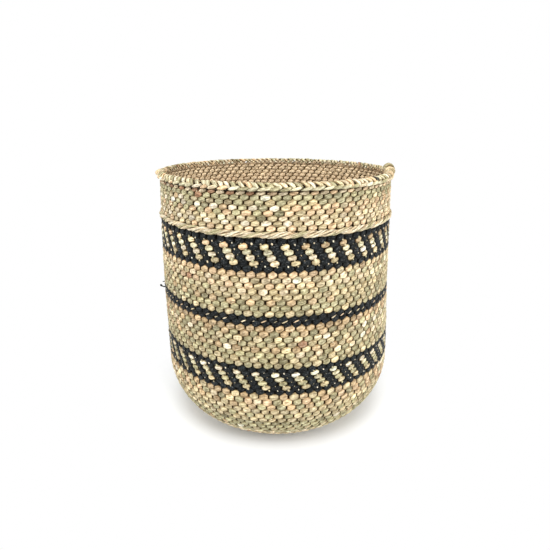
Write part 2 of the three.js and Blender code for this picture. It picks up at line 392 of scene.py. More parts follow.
# Grass materials: noise scales along a strand, and for each effect where it starts and ends
fibreLook = {
    "fineScale": 220.0,
    "blotchScale": 320.0,
    "highlightScale": 800.0,
    "fibres": (0.28, 0.58),
    "blotches": (0.34, 0.58, 0.56, 1.0),
    # painted highlights: where the small pale specks show
    "highlightSpots": (0.56, 0.68),
    # painted shade: darker along a strand's edges, between rows, and where it dives into the wall
    "edgeShade": (0.55, 1.0, 0.0, 0.55),
    "diveShade": (0.4, 0.6),
    # the inner faces take the inside tint, partly painted light, and less of the painted shade
    "inner": (-0.1, -0.5),
    "innerGloom": -0.35,
    "innerTint": 0.85,
    "roughness": (0.3, 0.7, 0.72, 0.5),
    # how much faster green and blue darken than red
    "shadeTint": (1.07, 1.16),
    "gloomTint": (1.25, 1.7),
}


def mixColours(tree, blend, amount, first, second):
    values = {0: amount, 6: first, 7: second}
    return addNode(tree, "ShaderNodeMix", values, data_type="RGBA", blend_type=blend).outputs[2]


def buildFibreGroup():
    # Fibres that run along a strand: their tint, roughness and height. Painted shade darkens the strand
    # where it dives into the wall and along its edges, painted highlights show as small pale specks, and its
    # inner faces have their own tint, partly painted light that brightens the shaded inside of the basket.
    look = fibreLook
    group = newTree("grassFibre", "ShaderNodeTree", {
        "Color": ["Colour", "Inside", "Highlight"],
        "Vector": ["Section"],
        "Float": ["Along", "Buried", "Fibres", "Contrast", "Gloom", "Dullness", "Highlight Amount"],
    }, {"Color": ["Colour"], "Float": ["Roughness", "Height"]})
    source = addNode(group, "NodeGroupInput").outputs
    parts = separate(group, source["Section"])
    across = times(group, parts[0], source["Fibres"])
    upward = times(group, parts[1], source["Fibres"])

    def grain(scale, detail, first, second):
        place = combine(group, times(group, source["Along"], scale), first, second)
        values = {"Vector": place, "Scale": 1.0, "Detail": detail}
        return addNode(group, "ShaderNodeTexNoise", values).outputs[0]

    fine = grain(look["fineScale"], 3.0, across, upward)
    blotch = grain(look["blotchScale"], 2.0, parts[0], parts[1])
    # painted highlights: small specks of the highlight colour mixed into the grass
    highlightSpots = ramp(group, grain(look["highlightScale"], 1.0, across, upward), *look["highlightSpots"])
    highlightSpots = times(group, highlightSpots, source["Highlight Amount"])
    fibre = ramp(group, fine, *look["fibres"])
    darkest = minus(group, 1.0, source["Contrast"])
    shade = maths(group, "MULTIPLY_ADD", fibre, source["Contrast"], darkest)
    shade = times(group, shade, ramp(group, blotch, *look["blotches"]))
    # painted shade along the edges between rows and where the strand dives, weaker on the inner faces
    edgeGloom = ramp(group, maths(group, "ABSOLUTE", parts[1]), *look["edgeShade"])
    gloom = ramp(group, source["Buried"], *look["diveShade"])
    inner = ramp(group, parts[0], *look["inner"])
    gloom = times(group, maths(group, "MAXIMUM", gloom, edgeGloom), source["Gloom"])
    gloom = times(group, gloom, maths(group, "MULTIPLY_ADD", inner, look["innerGloom"], 1.0))
    clear = minus(group, 1.0, gloom)
    colour = mixColours(group, "MIX", highlightSpots, source["Colour"], source["Highlight"])
    colour = mixColours(group, "MIX", times(group, inner, look["innerTint"]), colour, source["Inside"])
    for value, powers in ((shade, look["shadeTint"]), (clear, look["gloomTint"])):
        tone = combine(group, value, *(maths(group, "POWER", value, power) for power in powers))
        colour = mixColours(group, "MULTIPLY", 1.0, colour, tone)
    out = addNode(group, "NodeGroupOutput").inputs
    group.links.new(colour, out["Colour"])
    dull = times(group, ramp(group, fine, *look["roughness"]), source["Dullness"])
    group.links.new(dull, out["Roughness"])
    group.links.new(fibre, out["Height"])
    return group


fibreGroup = buildFibreGroup()


# gloom: how dark the painted shade gets where a strand dives and along its edges; the last two settings: the
# colour and share of the painted highlight specks
def makeGrass(name, inside, fibres=4.0, contrast=0.42, gloom=0.9, bump=0.6, specular=0.15,
              dullness=1.0, highlight="white", highlightAmount=0.3):
    material = bpy.data.materials.new(name)
    material.use_nodes = True
    tree = material.node_tree
    shader = tree.nodes["Principled BSDF"]
    fibre = addNode(tree, "ShaderNodeGroup", node_tree=fibreGroup)
    for label, attribute, output in (
            ("Colour", "strandColour", "Color"), ("Along", "along", "Fac"),
            ("Section", "sectionPlace", "Vector"), ("Buried", "buried", "Fac")):
        read = addNode(tree, "ShaderNodeAttribute", attribute_name=attribute)
        tree.links.new(read.outputs[output], fibre.inputs[label])
    for label, value in (
            ("Fibres", fibres), ("Contrast", contrast), ("Gloom", gloom), ("Dullness", dullness),
            ("Inside", (*linear(grass[inside]), 1)), ("Highlight", (*linear(grass[highlight]), 1)),
            ("Highlight Amount", highlightAmount)):
        fibre.inputs[label].default_value = value
    values = {"Strength": bump, "Distance": 0.0005, "Height": fibre.outputs["Height"]}
    relief = addNode(tree, "ShaderNodeBump", values)
    tree.links.new(fibre.outputs["Colour"], shader.inputs["Base Color"])
    tree.links.new(fibre.outputs["Roughness"], shader.inputs["Roughness"])
    tree.links.new(relief.outputs[0], shader.inputs["Normal"])
    shader.inputs["Specular IOR Level"].default_value = specular
    return material


paleGrass = makeGrass("paleGrass", "inside", fibres=3.0, contrast=0.62, gloom=0.96, bump=0.9)
dyedGrass = makeGrass("dyedGrass", "black", contrast=0.95, gloom=0.97, bump=1.0, specular=0.09,
                      dullness=0.65, highlight="glint", highlightAmount=0.8)
cordGrass = makeGrass("cordGrass", "cream", fibres=3.0, contrast=0.6)
stakeGrass = makeGrass("stakeGrass", "straw", fibres=3.0, contrast=0.3, gloom=0.15)
tieGrass = makeGrass("tieGrass", "straw", fibres=3.0, contrast=0.45, gloom=0.35)

twiningTree = buildTwiningTree()
bentTree = buildBentTree()


def dress(piece, slot, *nodes):
    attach(piece, "root")
    if nodes:
        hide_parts(*nodes)
    return piece


# The twined courses. Lengths are in metres, places and shifts in lozenges, swells and the overlap are
# shares of a row's height, and spreads are shares of the value that they vary.
weave = {
    "lozenges": 84,
    "stepsPerLozenge": 10,
    "sides": 8,
    "rowOverlap": 1.37,
    "naturalSwell": 0.84,
    "darkSwell": 1.2,
    "thickness": 0.0022,
    "depth": 0.0011,
    "lean": 0.00042,
    "endWidth": 0.22,
    "pinch": 0.3,
    "wander": 1.3,
    "uneven": 0.9,
    "ripple": 0.0008,
    "firstPlace": 0.68,
    "topShiftPerRow": 0.407,
    "shiftPerRow": 0.38,
    "darkShiftPerRow": 0.35,
    "cordShift": 0.02,
    "spliceShare": 0.05,
    "accentShare": 0.03,
    "firstRowHeight": 0.62,
    "baseLift": 0.0004,
    "baseSwell": 1.15,
    "startHole": 0.003,
    "wallBottomRadius": 0.078,
    # under the basket the stakes come together, so from each of these radii in a row has fewer lozenges
    "fewerLozenges": ((0.047, 60), (0.027, 36), (0.0115, 20), (0, 12)),
    "spliceRun": 4,
    "toneRun": (3, 10),
    "toneSpread": 0.03,
    "powerSpread": 0.05,
    "lightSpread": 0.065,
}
# Each course's CAD node, its slot and, row by row from the top down, the colours of its two strands
darkRow = ("black_straw", ("black black",))
courses = (
    ("top_weave", "green_straw", (
        "cream peach+green+tan+redBrown", "green green", "khaki green", "peach+white straw+green",
        "khaki+green peach", "cream khaki", "cream+white straw+khaki", "peach straw+khaki")),
    ("upper_band_top_edge", *darkRow),
    ("upper_band_checks", "checked_straw", (
        "black tan+peach", "black paleGreen", "black white", "black khaki")),
    ("upper_band_bottom_edge", *darkRow),
    ("upper_middle_weave", "tan_straw", (
        "tan+peach khaki+tan", "green+khaki cream", "straw cream+peach", "green khaki", "khaki khaki",
        "khaki+tan greyGreen", "khaki+green green", "greyGreen khaki+straw")),
    ("stripe_top_row", *darkRow),
    ("stripe_bottom_row", *darkRow),
    ("lower_middle_weave", "straw", (
        "peach+tan brown", "green+greyGreen peach+tan", "white+straw greyGreen", "green+greyGreen khaki",
        "straw+khaki cream+tan", "greyGreen khaki+green", "khaki green+greyGreen",
        "straw+khaki greyGreen")),
    ("lower_band_top_edge", *darkRow),
    ("lower_band_checks", "checked_straw", (
        "black white", "black paleGreen", "black green", "black khaki")),
    ("lower_band_bottom_edge", *darkRow),
    ("heel_side_weave", "green_straw", (
        "white+tan cream+straw", "tan+peach green+greyGreen", "peach+tan cream+khaki",
        "cream+straw white+straw", "straw+khaki khaki+green", "cream+khaki straw",
        "straw+green green+greyGreen", "straw+green green", "cream+khaki green",
        "straw+green khaki+greyGreen")),
    ("heel_turn_weave", "green_straw", (
        "straw cream", "khaki cream", "cream straw", "peach khaki", "khaki white", "cream straw",
        "green cream", "cream straw", "straw green", "khaki straw", "straw green")),
    ("base_weave", "straw", (
        "straw green", "tan straw", "green straw", "straw straw", "straw green", "tan straw",
        "green straw", "straw tan")),
    ("base_start", "straw", ("straw tan", "green straw", "straw straw")),
)
natural = ("cream", "cream", "peach", "straw", "khaki", "green", "greyGreen", "tan")
accents = ("redBrown", "white", "cream", "peach", "tan", "greyGreen")


def lozengeColours(name, count):
    # the grass of one strand, spliced every so often; names joined by + follow each other round the
    # basket, from the front to the right
    parts = name.split("+")
    tones = np.zeros((count, 3))
    start = 0
    while start < count:
        run = int(rng.integers(*weave["toneRun"]))
        tone = parts[start * len(parts) // count]
        if name != "black" and rng.random() < weave["spliceShare"]:
            tone = natural[rng.integers(len(natural))]
            run = min(run, weave["spliceRun"])
        tones[start:start + run] = np.array(grass[tone]) * (1 + rng.normal(0, weave["toneSpread"]))
        start += run
    if name != "black":
        for accent in np.flatnonzero(rng.random(count) < weave["accentShare"]):
            tones[accent] = grass[rng.choice(accents)]
    powers = 1 + rng.normal(0, weave["powerSpread"], (count, 1))
    return linear(tones ** powers * (1 + rng.normal(0, weave["lightSpread"], (count, 1))))


def lozengesAt(radius):
    steps = ((weave["wallBottomRadius"], weave["lozenges"]), *weave["fewerLozenges"])
    return next(count for least, count in steps if radius >= least)


def rowGuides(runs, pitches, places, colourNames, partner):
    # closed rings along the wall, 2 points to a lozenge
    rings = []
    for run, pitch, place, names in zip(runs, pitches, places, colourNames):
        lozenges = lozengesAt(wallPlace(run)[0])
        depth = outlineSizes["wallThickness"] / 2
        depth += weave["baseLift"] * max(0, -wallPlace(run)[3]) ** 4
        r, z, normalR, normalZ = wallPlace(run, depth)
        count = lozenges * 2
        angles = -math.pi + (np.arange(count) + 0.5) * 2 * math.pi / count
        shift = (0.5 - place) * math.pi
        phase = angles * lozenges / 2 + shift + math.pi * partner
        periods = np.floor(phase / (2 * math.pi) + 0.25).astype(int)
        name = names.split()[partner]
        widen = weave["baseSwell"] if normalZ < -0.9 else 1
        if "black" in names:
            widen = weave["darkSwell" if name == "black" else "naturalSwell"]
        rings.append({
            "points": roundRim(r, angles, z),
            "colours": lozengeColours(name, lozenges // 2)[periods % (lozenges // 2)],
            "isRing": True,
            "outward": roundRim(normalR, angles, normalZ),
            "upward": roundRim(-normalZ, angles, normalR),
            "rowShift": np.full(count, shift),
            "lozenges": np.full(count, float(lozenges)),
            "rowPitch": np.full(count, pitch * widen),
        })
    return makeGuides(rings)


def bentPiece(name, strands, slot, nodes, material, sides=8, isRing=False):
    # strands: (points, half width out, half width up, colour) for each
    guides = []
    for number, (path, out, up, tone) in enumerate(strands):
        steps = np.linalg.norm(np.diff(path, axis=0), axis=1)
        # each strand's length starts from its own number, so that no two have the same fibres
        guides.append({
            "points": path,
            "colours": np.broadcast_to(tone, path.shape),
            "isRing": isRing,
            "halfOut": out,
            "halfUp": up,
            "along": np.concatenate([[0], np.cumsum(steps)]) + number * 0.37,
            "buried": np.zeros(len(path)),
        })
    values = {"sides": sides, "material": material}
    return dress(runTree(makeGuides(guides), bentTree, name, values), slot, *nodes)


upright = np.array([0.0, 0.0, 1.0])


def roundRim(radius, angle, z):
    # points at angles counted to the right from the front
    return np.stack([radius * np.sin(angle), -radius * np.cos(angle), z + 0 * angle], -1)


def sideways(angle):
    return np.stack([np.cos(angle), np.sin(angle), 0 * angle], 1)


def pick(shares):
    return rng.choice(list(shares), p=list(shares.values()))


def tint(name, spread=0.04):
    return linear(np.array(grass[name]) * (1 + rng.normal(0, spread)))


# where the first strand's lozenge lies in a row, in lozenges from the front
lozengePlace = weave["firstPlace"]
rowPlaces = {}
for number, (node, slot, rowColours) in enumerate(courses):
    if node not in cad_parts:
        continue
    low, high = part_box(node)
    top, bottom = runAtHeight(high.z), runAtHeight(low.z)
    if node == "heel_turn_weave":
        bottom = outlineSizes["baseRadius"]
    if node == "base_weave":
        top, bottom = outlineSizes["baseRadius"], startRadius
    if node == "base_start":
        top, bottom = startRadius, weave["startHole"]
    rows = len(rowColours)
    shares = np.ones(rows)
    if node == "top_weave":
        shares[0] = weave["firstRowHeight"]
    pitches = (top - bottom) * shares / shares.sum()
    runs = top - np.cumsum(pitches) + pitches / 2
    isDark = "black" in rowColours[0]
    rowShift = weave["darkShiftPerRow" if isDark else "shiftPerRow"]
    if node == "top_weave":
        rowShift = weave["topShiftPerRow"]
    places = lozengePlace + rowShift * np.arange(rows)
    lozengePlace += rowShift * rows
    if node == "top_weave":
        lozengePlace += weave["cordShift"] - rowShift
    for partner in (0, 1):
        guides = rowGuides(runs, pitches, places, rowColours, partner)
        dark = rowColours[0].split()[partner] == "black"
        name = f"{node}_{'second' if partner else 'first'}_strands"
        piece = runTree(guides, twiningTree, name, {
            **weave,
            "partner": float(partner),
            "seed": number + 1.0,
            "material": dyedGrass if dark else paleGrass,
        })
        dress(piece, slot, node)
    rowPlaces[node] = list(zip(runs, pitches, places))
    print(node, rows, "rows", len(piece.data.polygons), "faces a strand")


# Ridge cord: two strands laid round each other, each a bundle of blades
cord = {
    "twists": 21,
    "stepsPerTwist": 16,
    "blades": 6,
    "bladeWidth": 0.00088,
    "strandDepth": 0.000713,
    "strandWidth": 0.001332,
    "layRadius": 0.00125,
    "bladeWander": 0.6,
    "wanderWaves": 19,
    "bladeSwell": 0.18,
    "swellWaves": 31,
}


def layCord(strand, node, colours):
    low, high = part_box(node)
    outer = max(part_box(n)[1].x for n in ("ridge_cord_pale_strand", "ridge_cord_green_strand"))
    middle = outer - (high.z - low.z) / 2
    count = cord["twists"] * cord["stepsPerTwist"]
    angle = np.arange(count) * 2 * math.pi / count
    turn = angle * cord["twists"] + strand * math.pi
    strands = []
    for blade in range(cord["blades"]):
        local = 2 * math.pi * blade / cord["blades"]
        local = local + cord["bladeWander"] * np.sin(angle * cord["wanderWaves"] + blade * 2.1)
        deep = cord["layRadius"] + cord["strandDepth"] * np.cos(local)
        wide = cord["strandWidth"] * np.sin(local)
        out = deep * np.cos(turn) - wide * np.sin(turn)
        up = deep * np.sin(turn) + wide * np.cos(turn)
        path = roundRim(middle + out, angle, (low.z + high.z) / 2 + up)
        swell = 1 + cord["bladeSwell"] * np.sin(angle * cord["swellWaves"] + blade * 1.7)
        swell = cord["bladeWidth"] * swell[:, None]
        tone = tint(colours[blade % len(colours)])
        strands.append((path, roundRim(1.0, angle, 0) * swell, upright * swell, tone))
    return strands


for strand, (tone, slot, colours) in enumerate((
        ("pale", "straw", ("white", "cream", "white", "peach")),
        ("green", "green_straw", ("cream", "green", "cream", "straw")))):
    node = f"ridge_cord_{tone}_strand"
    blades = layCord(strand, node, colours)
    bentPiece(f"cord_{tone}_blades", blades, slot, [node], cordGrass, sides=5, isRing=True)


# Border: stake ends hooked over the rim, with longer leaves plaited along below them. A taper is the
# places along a strand and its width there, bends are angles round the border's section, and the
# spreads are those of a strand's width, reach and tone.
border = {
    "reach": (0.0029, 0.0017, 0.0026),
    "drop": 0.0006,
    "scatter": 0.1,
    "hooks": 126,
    "hookWidth": 0.0018,
    "hookSpreads": (0.08, 0.00015, 0.04),
    "hookThickness": 0.001,
    "hookBends": (165, 128, 88, 40, -8),
    "hookSlides": (-0.0042, -0.0028, -0.0008, 0.0014, 0.0034),
    "hookTaper": ((0, 0.2, 0.45, 0.8, 1), (0.3, 0.8, 1, 0.95, 0.6)),
    "hookShares": {"cream": 0.15, "white": 0.06, "straw": 0.08, "green": 0.2, "peach": 0.1,
                   "greyGreen": 0.1, "paleGreen": 0.28, "redBrown": 0.03},
    "darkHookTurn": 0.85,
    "stubs": 126,
    "stubWidth": 0.0013,
    "stubSpreads": (0.12, 0.0001, 0.08),
    "stubLean": 0.002,
    "stubBends": ((205, 168), (168, 128)),
    "stubTaper": ((0, 0.3, 0.7, 1), (0.35, 1, 1, 0.35)),
    "stubShares": {"cream": 0.3, "white": 0.15, "green": 0.2, "peach": 0.2, "tan": 0.15},
    "leaves": 84,
    "leafLength": 0.0104,
    "leafWidth": 0.0016,
    "leafThickness": 0.0012,
    "leafBottom": 0.0005,
    "leafRise": 0.0024,
    "leafOut": 0.0012,
    "leafBow": 0.0024,
    "leafTaper": ((0, 0.3, 0.7, 1), (0.2, 0.85, 1, 0.3)),
    "leafShares": {"cream": 0.2, "paleGreen": 0.25, "green": 0.17, "peach": 0.15, "white": 0.13,
                   "greyGreen": 0.1},
    "coreDrop": 0.0008,
    "coreOut": 0.0018,
    "coreUp": 0.0028,
}
borderLow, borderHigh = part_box("border_plait")
borderMiddleZ = (borderLow.z + borderHigh.z) / 2 - border["drop"]
borderRadius = wallRadius(borderMiddleZ) - outlineSizes["wallThickness"] / 2


def hoop(turn, a, slide, reach, width, thickness, colour, taper, shift=0.0):
    # a strand over the border: a is the angle round the border's own section, slide runs along it,
    # reach says how far it goes outward, inward and up, and shift moves it outward
    r = borderRadius + shift + np.where(np.cos(a) > 0, reach[0], reach[1]) * np.cos(a)
    z = borderMiddleZ + reach[2] * np.sin(a)
    angle = turn + slide / borderRadius
    path = roundRim(r, angle, z)
    out = roundRim(1.0, angle, 0) * np.cos(a)[:, None] + upright * np.sin(a)[:, None]
    along = np.gradient(path, axis=0)
    along /= np.linalg.norm(along, axis=1)[:, None]
    side = np.cross(out, along)
    side /= np.linalg.norm(side, axis=1)[:, None]
    return path, out * thickness * taper[:, None], side * width * taper[:, None], colour


def borderHoop(kind, turn, a, slide, name):
    # a hook or a stub, with its own small irregularities
    widthSpread, reachSpread, toneSpread = border[kind + "Spreads"]
    width = border[kind + "Width"] * rng.normal(1, widthSpread)
    reach = np.array(border["reach"]) + rng.normal(0, reachSpread)
    taper = np.interp(np.linspace(0, 1, len(a)), *border[kind + "Taper"])
    return hoop(turn, a, slide, reach, width, border["hookThickness"], tint(name, toneSpread), taper)


def borderHooks():
    strands = []
    t = np.linspace(0, 1, 11)
    bend = np.linspace(0, 1, len(border["hookBends"]))
    a = np.radians(np.interp(t, bend, border["hookBends"]))
    darkHook = round(border["darkHookTurn"] / (2 * math.pi) * border["hooks"])
    for i in range(border["hooks"]):
        turn = 2 * math.pi * (i + rng.normal(0, border["scatter"])) / border["hooks"]
        slide = np.interp(t, bend, border["hookSlides"]) * rng.normal(1, 0.1)
        name = pick(border["hookShares"])
        strands.append(borderHoop("hook", turn, a, slide, "black" if i == darkHook else name))
    return strands


def borderStubs():
    # inside the rim the stakes' ends show as two staggered rows of short stubs
    strands = []
    t = np.linspace(0, 1, 6)
    for row, (first, last) in enumerate(border["stubBends"]):
        a = np.radians(first + (last - first) * t)
        slide = (t - 0.5) * border["stubLean"] * (1 if row else -1)
        for i in range(border["stubs"]):
            turn = 2 * math.pi * (i + 0.5 * row + rng.normal(0, border["scatter"])) / border["stubs"]
            strands.append(borderHoop("stub", turn, a, slide, pick(border["stubShares"])))
    return strands


def borderLeaves():
    strands = []
    t = np.linspace(0, 1, 12)
    taper = np.interp(t, *border["leafTaper"])[:, None]
    for i in range(border["leaves"]):
        turn = 2 * math.pi * (i + rng.normal(0, border["scatter"])) / border["leaves"]
        angle = turn + (t - 0.5) * border["leafLength"] * rng.normal(1, 0.08) / borderRadius
        z = borderLow.z + border["leafBottom"] + border["leafRise"] * t + rng.normal(0, 0.0001)
        r = borderRadius + border["leafOut"] + border["leafBow"] * np.sin(math.pi * t) ** 0.8
        size = taper * rng.normal(1, 0.08)
        tone = tint(pick(border["leafShares"]), 0.06)
        out = roundRim(1.0, angle, 0) * border["leafThickness"] * size
        strands.append((roundRim(r, angle, z), out, upright * border["leafWidth"] * size, tone))
    return strands


def borderCore():
    angle = np.arange(120) * 2 * math.pi / 120
    middle = (border["reach"][0] - border["reach"][1]) / 2
    path = roundRim(borderRadius + middle, angle, borderMiddleZ - border["coreDrop"])
    up = np.tile(upright * border["coreUp"], (120, 1))
    # painted shade: the core that fills the gaps in the border takes the near-black gap shade
    return [(path, roundRim(1.0, angle, 0) * border["coreOut"], up, tint("gapShade", 0))]


bentPiece("border_hooks", borderHooks(), "straw", ["border_plait"], cordGrass)
bentPiece("border_stubs", borderStubs(), "straw", ["border_plait"], cordGrass, sides=6)
bentPiece("border_leaves", borderLeaves(), "straw", ["border_plait"], cordGrass)
bentPiece("border_core", borderCore(), "tan_straw", ["border_plait"], paleGrass, isRing=True)

# The ties that finish the border: on the right an arch with a smaller loop inside it and a broad wrap
# beside them, on the left a strap. Each has one blade for each of its colour names.
ties = {
    "taper": ((0, 0.12, 0.85, 1), (0.5, 1, 1, 0.6)),
    "spacing": 1.5,
    "unevenness": 0.0004,
    "arch": dict(turn=1.60, reach=(0.0036, 0.0042, 0.0057), shift=0.0036, bends=(190, -28), lean=-0.003,
                 width=0.0011, thickness=0.0013, names=("greyGreen", "khaki", "green", "greyGreen")),
    "loop": dict(turn=1.60, reach=(0.0026, 0.0034, 0.0042), shift=0.0028, bends=(190, -10), lean=-0.002,
                 width=0.0013, thickness=0.001, names=("cream", "khaki", "cream")),
    "wrap": dict(turn=1.47, reach=(0.0050, 0.0036, 0.0037), shift=0.0008, bends=(200, -18), lean=0.012,
                 width=0.0013, thickness=0.0014, names=("straw", "peach", "peach")),
    "strap": dict(turn=-1.50, reach=(0.0052, 0.0020, 0.0014), shift=0.0, bends=(165, -60), lean=0.008,
                  width=0.0015, thickness=0.0018, names=("cream", "peach", "peach")),
}


def tieBlades(turn, reach, shift, bends, lean, width, thickness, names):
    # side by side, and by turns a little further out and in
    strands = []
    t = np.linspace(0, 1, 22)
    a = np.radians(bends[0] + (bends[1] - bends[0]) * t)
    taper = np.interp(t, *ties["taper"])
    for blade, name in enumerate(names):
        slide = lean * (t - 0.5) + (blade - (len(names) - 1) / 2) * width * ties["spacing"]
        lifted = np.array(reach) + ties["unevenness"] * math.sin(blade * 2.4)
        strands.append(hoop(turn, a, slide, lifted, width, thickness, tint(name), taper, shift))
    return strands


archBlades = tieBlades(**ties["arch"]) + tieBlades(**ties["loop"])
wrapBlades = tieBlades(**ties["wrap"])
strapBlades = tieBlades(**ties["strap"])
bentPiece("right_tie_arch_blades", archBlades, "green_straw", ["right_tie_arch"], cordGrass)
bentPiece("right_tie_wrap_blades", wrapBlades, "straw", ["right_tie_wrap"], tieGrass, sides=12)
bentPiece("left_tie_strap_blade", strapBlades, "straw", ["left_tie_strap"], tieGrass, sides=12)


# The cut end of a dark strand at the stripe's left, with a frayed knob, and a splinter above it
tail = {
    "halfWidth": 0.0011,
    # where each starts (turn, rise), where its tip is (reach, rise), how far it sags, and its taper
    "strand": (0.06, -0.0016, 0.0042, -0.0016, 0.0008,
               ((0, 0.1, 0.68, 0.78, 0.9, 1), (0.7, 0.6, 0.5, 0.95, 1.0, 0.2))),
    "splinter": (0.0, 0.0012, 0.0018, 0.0013, 0.0, ((0, 1), (0.6, 0.3))),
}


def tailStrands():
    low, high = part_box("dark_weft_tail")
    r, z = wallPlace(rowPlaces["stripe_top_row"][0][0])[:2]
    angle = math.atan2(low.x + high.x, -low.y - high.y)
    t = np.linspace(0, 1, 14)
    strands = []
    for startTurn, startRise, reach, rise, sag, taper in (tail["strand"], tail["splinter"]):
        start = roundRim(r - 0.0005, angle + startTurn, z + startRise)
        tip = roundRim(r + reach, angle, z + rise)
        path = start + (tip - start) * t[:, None]
        path[:, 2] -= sag * np.sin(math.pi * t)
        along = (tip - start) / np.linalg.norm(tip - start)
        side = np.cross(upright, along)
        side /= np.linalg.norm(side)
        size = np.interp(t, *taper)[:, None] * tail["halfWidth"]
        strands.append((path, np.cross(along, side) * size, side * size, tint("black", 0)))
    return strands


bentPiece("dark_tail_strand", tailStrands(), "black_straw", ["dark_weft_tail"], dyedGrass)


# Stakes inside the wall: each runs under one lozenge of every row, so it leans as the rows shift.
# What shows of them between two rows is made as bits of their own.
stakes = {
    "cover": 1.08,
    "halfThickness": 0.0006,
    # painted shade: behind the dark rows the stakes take the black, darkened by this share
    "darkRowShade": 0.4,
    "bitDepth": 0.0003,
    "bitLean": 0.3,
    "bandBitShare": 0.85,
    # for the stakes under each strand the bits' half lengths, how slim they are, and their grass, first
    # beside a dark edge row and then between two checked rows
    "bandBits": (
        ((0.0007, 0.0004), 0.9, (["white", "white", "cream"], ["tan", "greyGreen", "straw"])),
        ((0.0008, 0.0011), 0.95, (["straw", "green", "khaki"], ["straw", "green", "khaki"])),
    ),
    "weaveBitShare": 0.22,
    "weaveBitSize": (0.0009, 0.0004),
}
darkNodes = [node for node in rowPlaces if "band" in node or "stripe" in node]
darkRuns = [row[0] for node in darkNodes for row in rowPlaces[node]]
wallRows = [row for rows in rowPlaces.values() for row in rows
            if wallPlace(row[0])[0] > weave["wallBottomRadius"]]
stakeStep = 2 * math.pi / weave["lozenges"]


def wallStakes():
    strands = []
    runs, pitches, places = np.array(wallRows).T
    heelRuns = np.linspace(runs[-1], outlineSizes["baseRadius"], 6)[1:]
    runs = np.concatenate([[runs[0] + pitches[0] / 2], runs, heelRuns])
    places = np.concatenate([places[:1], places, np.full(len(heelRuns), places[-1])])
    wide = (stakes["cover"] * wallPlace(runs)[0] * stakeStep / 2)[:, None]
    r, z, normalR, normalZ = wallPlace(runs, outlineSizes["wallThickness"] / 2)
    # painted shade: the stakes show in the gaps as near-black brown, and darker still behind the dark rows
    dark = np.isin(np.round(runs, 7), np.round(darkRuns, 7))[:, None]
    tone = np.where(dark, linear(grass["black"]) * stakes["darkRowShade"], linear(grass["gapShade"]))
    for m in range(weave["lozenges"]):
        angle = (places + m) * stakeStep
        out = roundRim(normalR, angle, normalZ) * stakes["halfThickness"]
        strands.append((roundRim(r, angle, z), out, sideways(angle) * wide, tone))
    return strands


bentPiece("wall_stakes", wallStakes(), "tan_straw", [], paleGrass, sides=4)


def stakeBits(above, below, share, length, width, names, everyOther=None):
    # everyOther keeps the stakes under one strand only
    strands = []
    t = np.array([-1, -0.4, 0.4, 1])
    (runAbove, pitchAbove, placeAbove), (runBelow, _, placeBelow) = above, below
    slope = (placeBelow - placeAbove) * stakeStep / (runAbove - runBelow) * stakes["bitLean"]
    for m in range(weave["lozenges"]):
        if rng.random() > share or (everyOther is not None and m % 2 != everyOther):
            continue
        run = runAbove - pitchAbove / 2 + rng.normal(0, 0.0002)
        angle = ((placeAbove + placeBelow) / 2 + m) * stakeStep + rng.normal(0, 0.004)
        size = np.clip(rng.normal(1, 0.25), 0.5, 1.6)
        along = t * length * size
        r, z, normalR, normalZ = wallPlace(run - along, stakes["bitDepth"])
        angle = angle + along * slope
        out = roundRim(normalR, angle, normalZ)
        swell = np.array([0.3, 1, 0.9, 0.25])[:, None] * width * size
        tone = tint(rng.choice(names))
        strands.append((roundRim(r, angle, z), out * swell * 0.5, sideways(angle) * swell, tone))
    return strands


def bandBits(band):
    rows = [row for part in ("top_edge", "checks", "bottom_edge") for row in rowPlaces[f"{band}_{part}"]]
    strands = []
    for i in range(len(rows) - 1):
        isLink = 0 < i < len(rows) - 2
        for partner, (sizes, slimness, names) in enumerate(stakes["bandBits"]):
            size = sizes[isLink]
            width = size * slimness
            share = stakes["bandBitShare"]
            strands += stakeBits(rows[i], rows[i + 1], share, size, width, names[isLink], partner)
    return strands


for band in ("upper_band", "lower_band"):
    bentPiece(f"{band}_stake_bits", bandBits(band), "straw", [], stakeGrass, sides=5)


def weaveBits(nodes):
    strands = []
    names = ["cream", "peach", "straw", "tan"]
    for node in nodes:
        for above, below in zip(rowPlaces[node], rowPlaces[node][1:]):
            strands += stakeBits(above, below, stakes["weaveBitShare"], *stakes["weaveBitSize"], names)
    return strands


naturalWeaves = ("top_weave", "upper_middle_weave", "lower_middle_weave", "heel_side_weave")
bentPiece("weave_stake_bits", weaveBits(naturalWeaves), "straw", [], stakeGrass, sides=4)


# Short ends of pale grass that show between the stripe's two dark rows
flecks = {
    "share": 0.8,
    "place": 0.17,
    "depth": 0.0004,
    "halfLength": 0.0018,
    "halfWidth": 0.0005,
    "tilt": 0.45,
}


def stripeFlecks():
    strands = []
    t = np.array([-1, -0.4, 0.4, 1])
    run, pitch, place = rowPlaces["stripe_top_row"][0]
    for m in range(weave["lozenges"]):
        if rng.random() > flecks["share"]:
            continue
        angle = (place + flecks["place"] + m) * stakeStep + rng.normal(0, 0.006)
        r, z = wallPlace(run - pitch / 2 + rng.normal(0, 0.0002))[:2]
        size = np.clip(rng.normal(1, 0.2), 0.5, 1.5)
        along = t * flecks["halfLength"] * size
        path = roundRim(r - flecks["depth"], angle + along / r, z + along * flecks["tilt"])
        swell = np.array([0.15, 1, 0.9, 0.1])[:, None] * flecks["halfWidth"] * size
        out = roundRim(1.0, angle + 0 * t, 0)
        tone = tint(rng.choice(["cream", "peach", "straw"]))
        strands.append((path, out * swell, upright * swell, tone))
    return strands


bentPiece("stripe_flecks", stripeFlecks(), "straw", [], stakeGrass, sides=5)


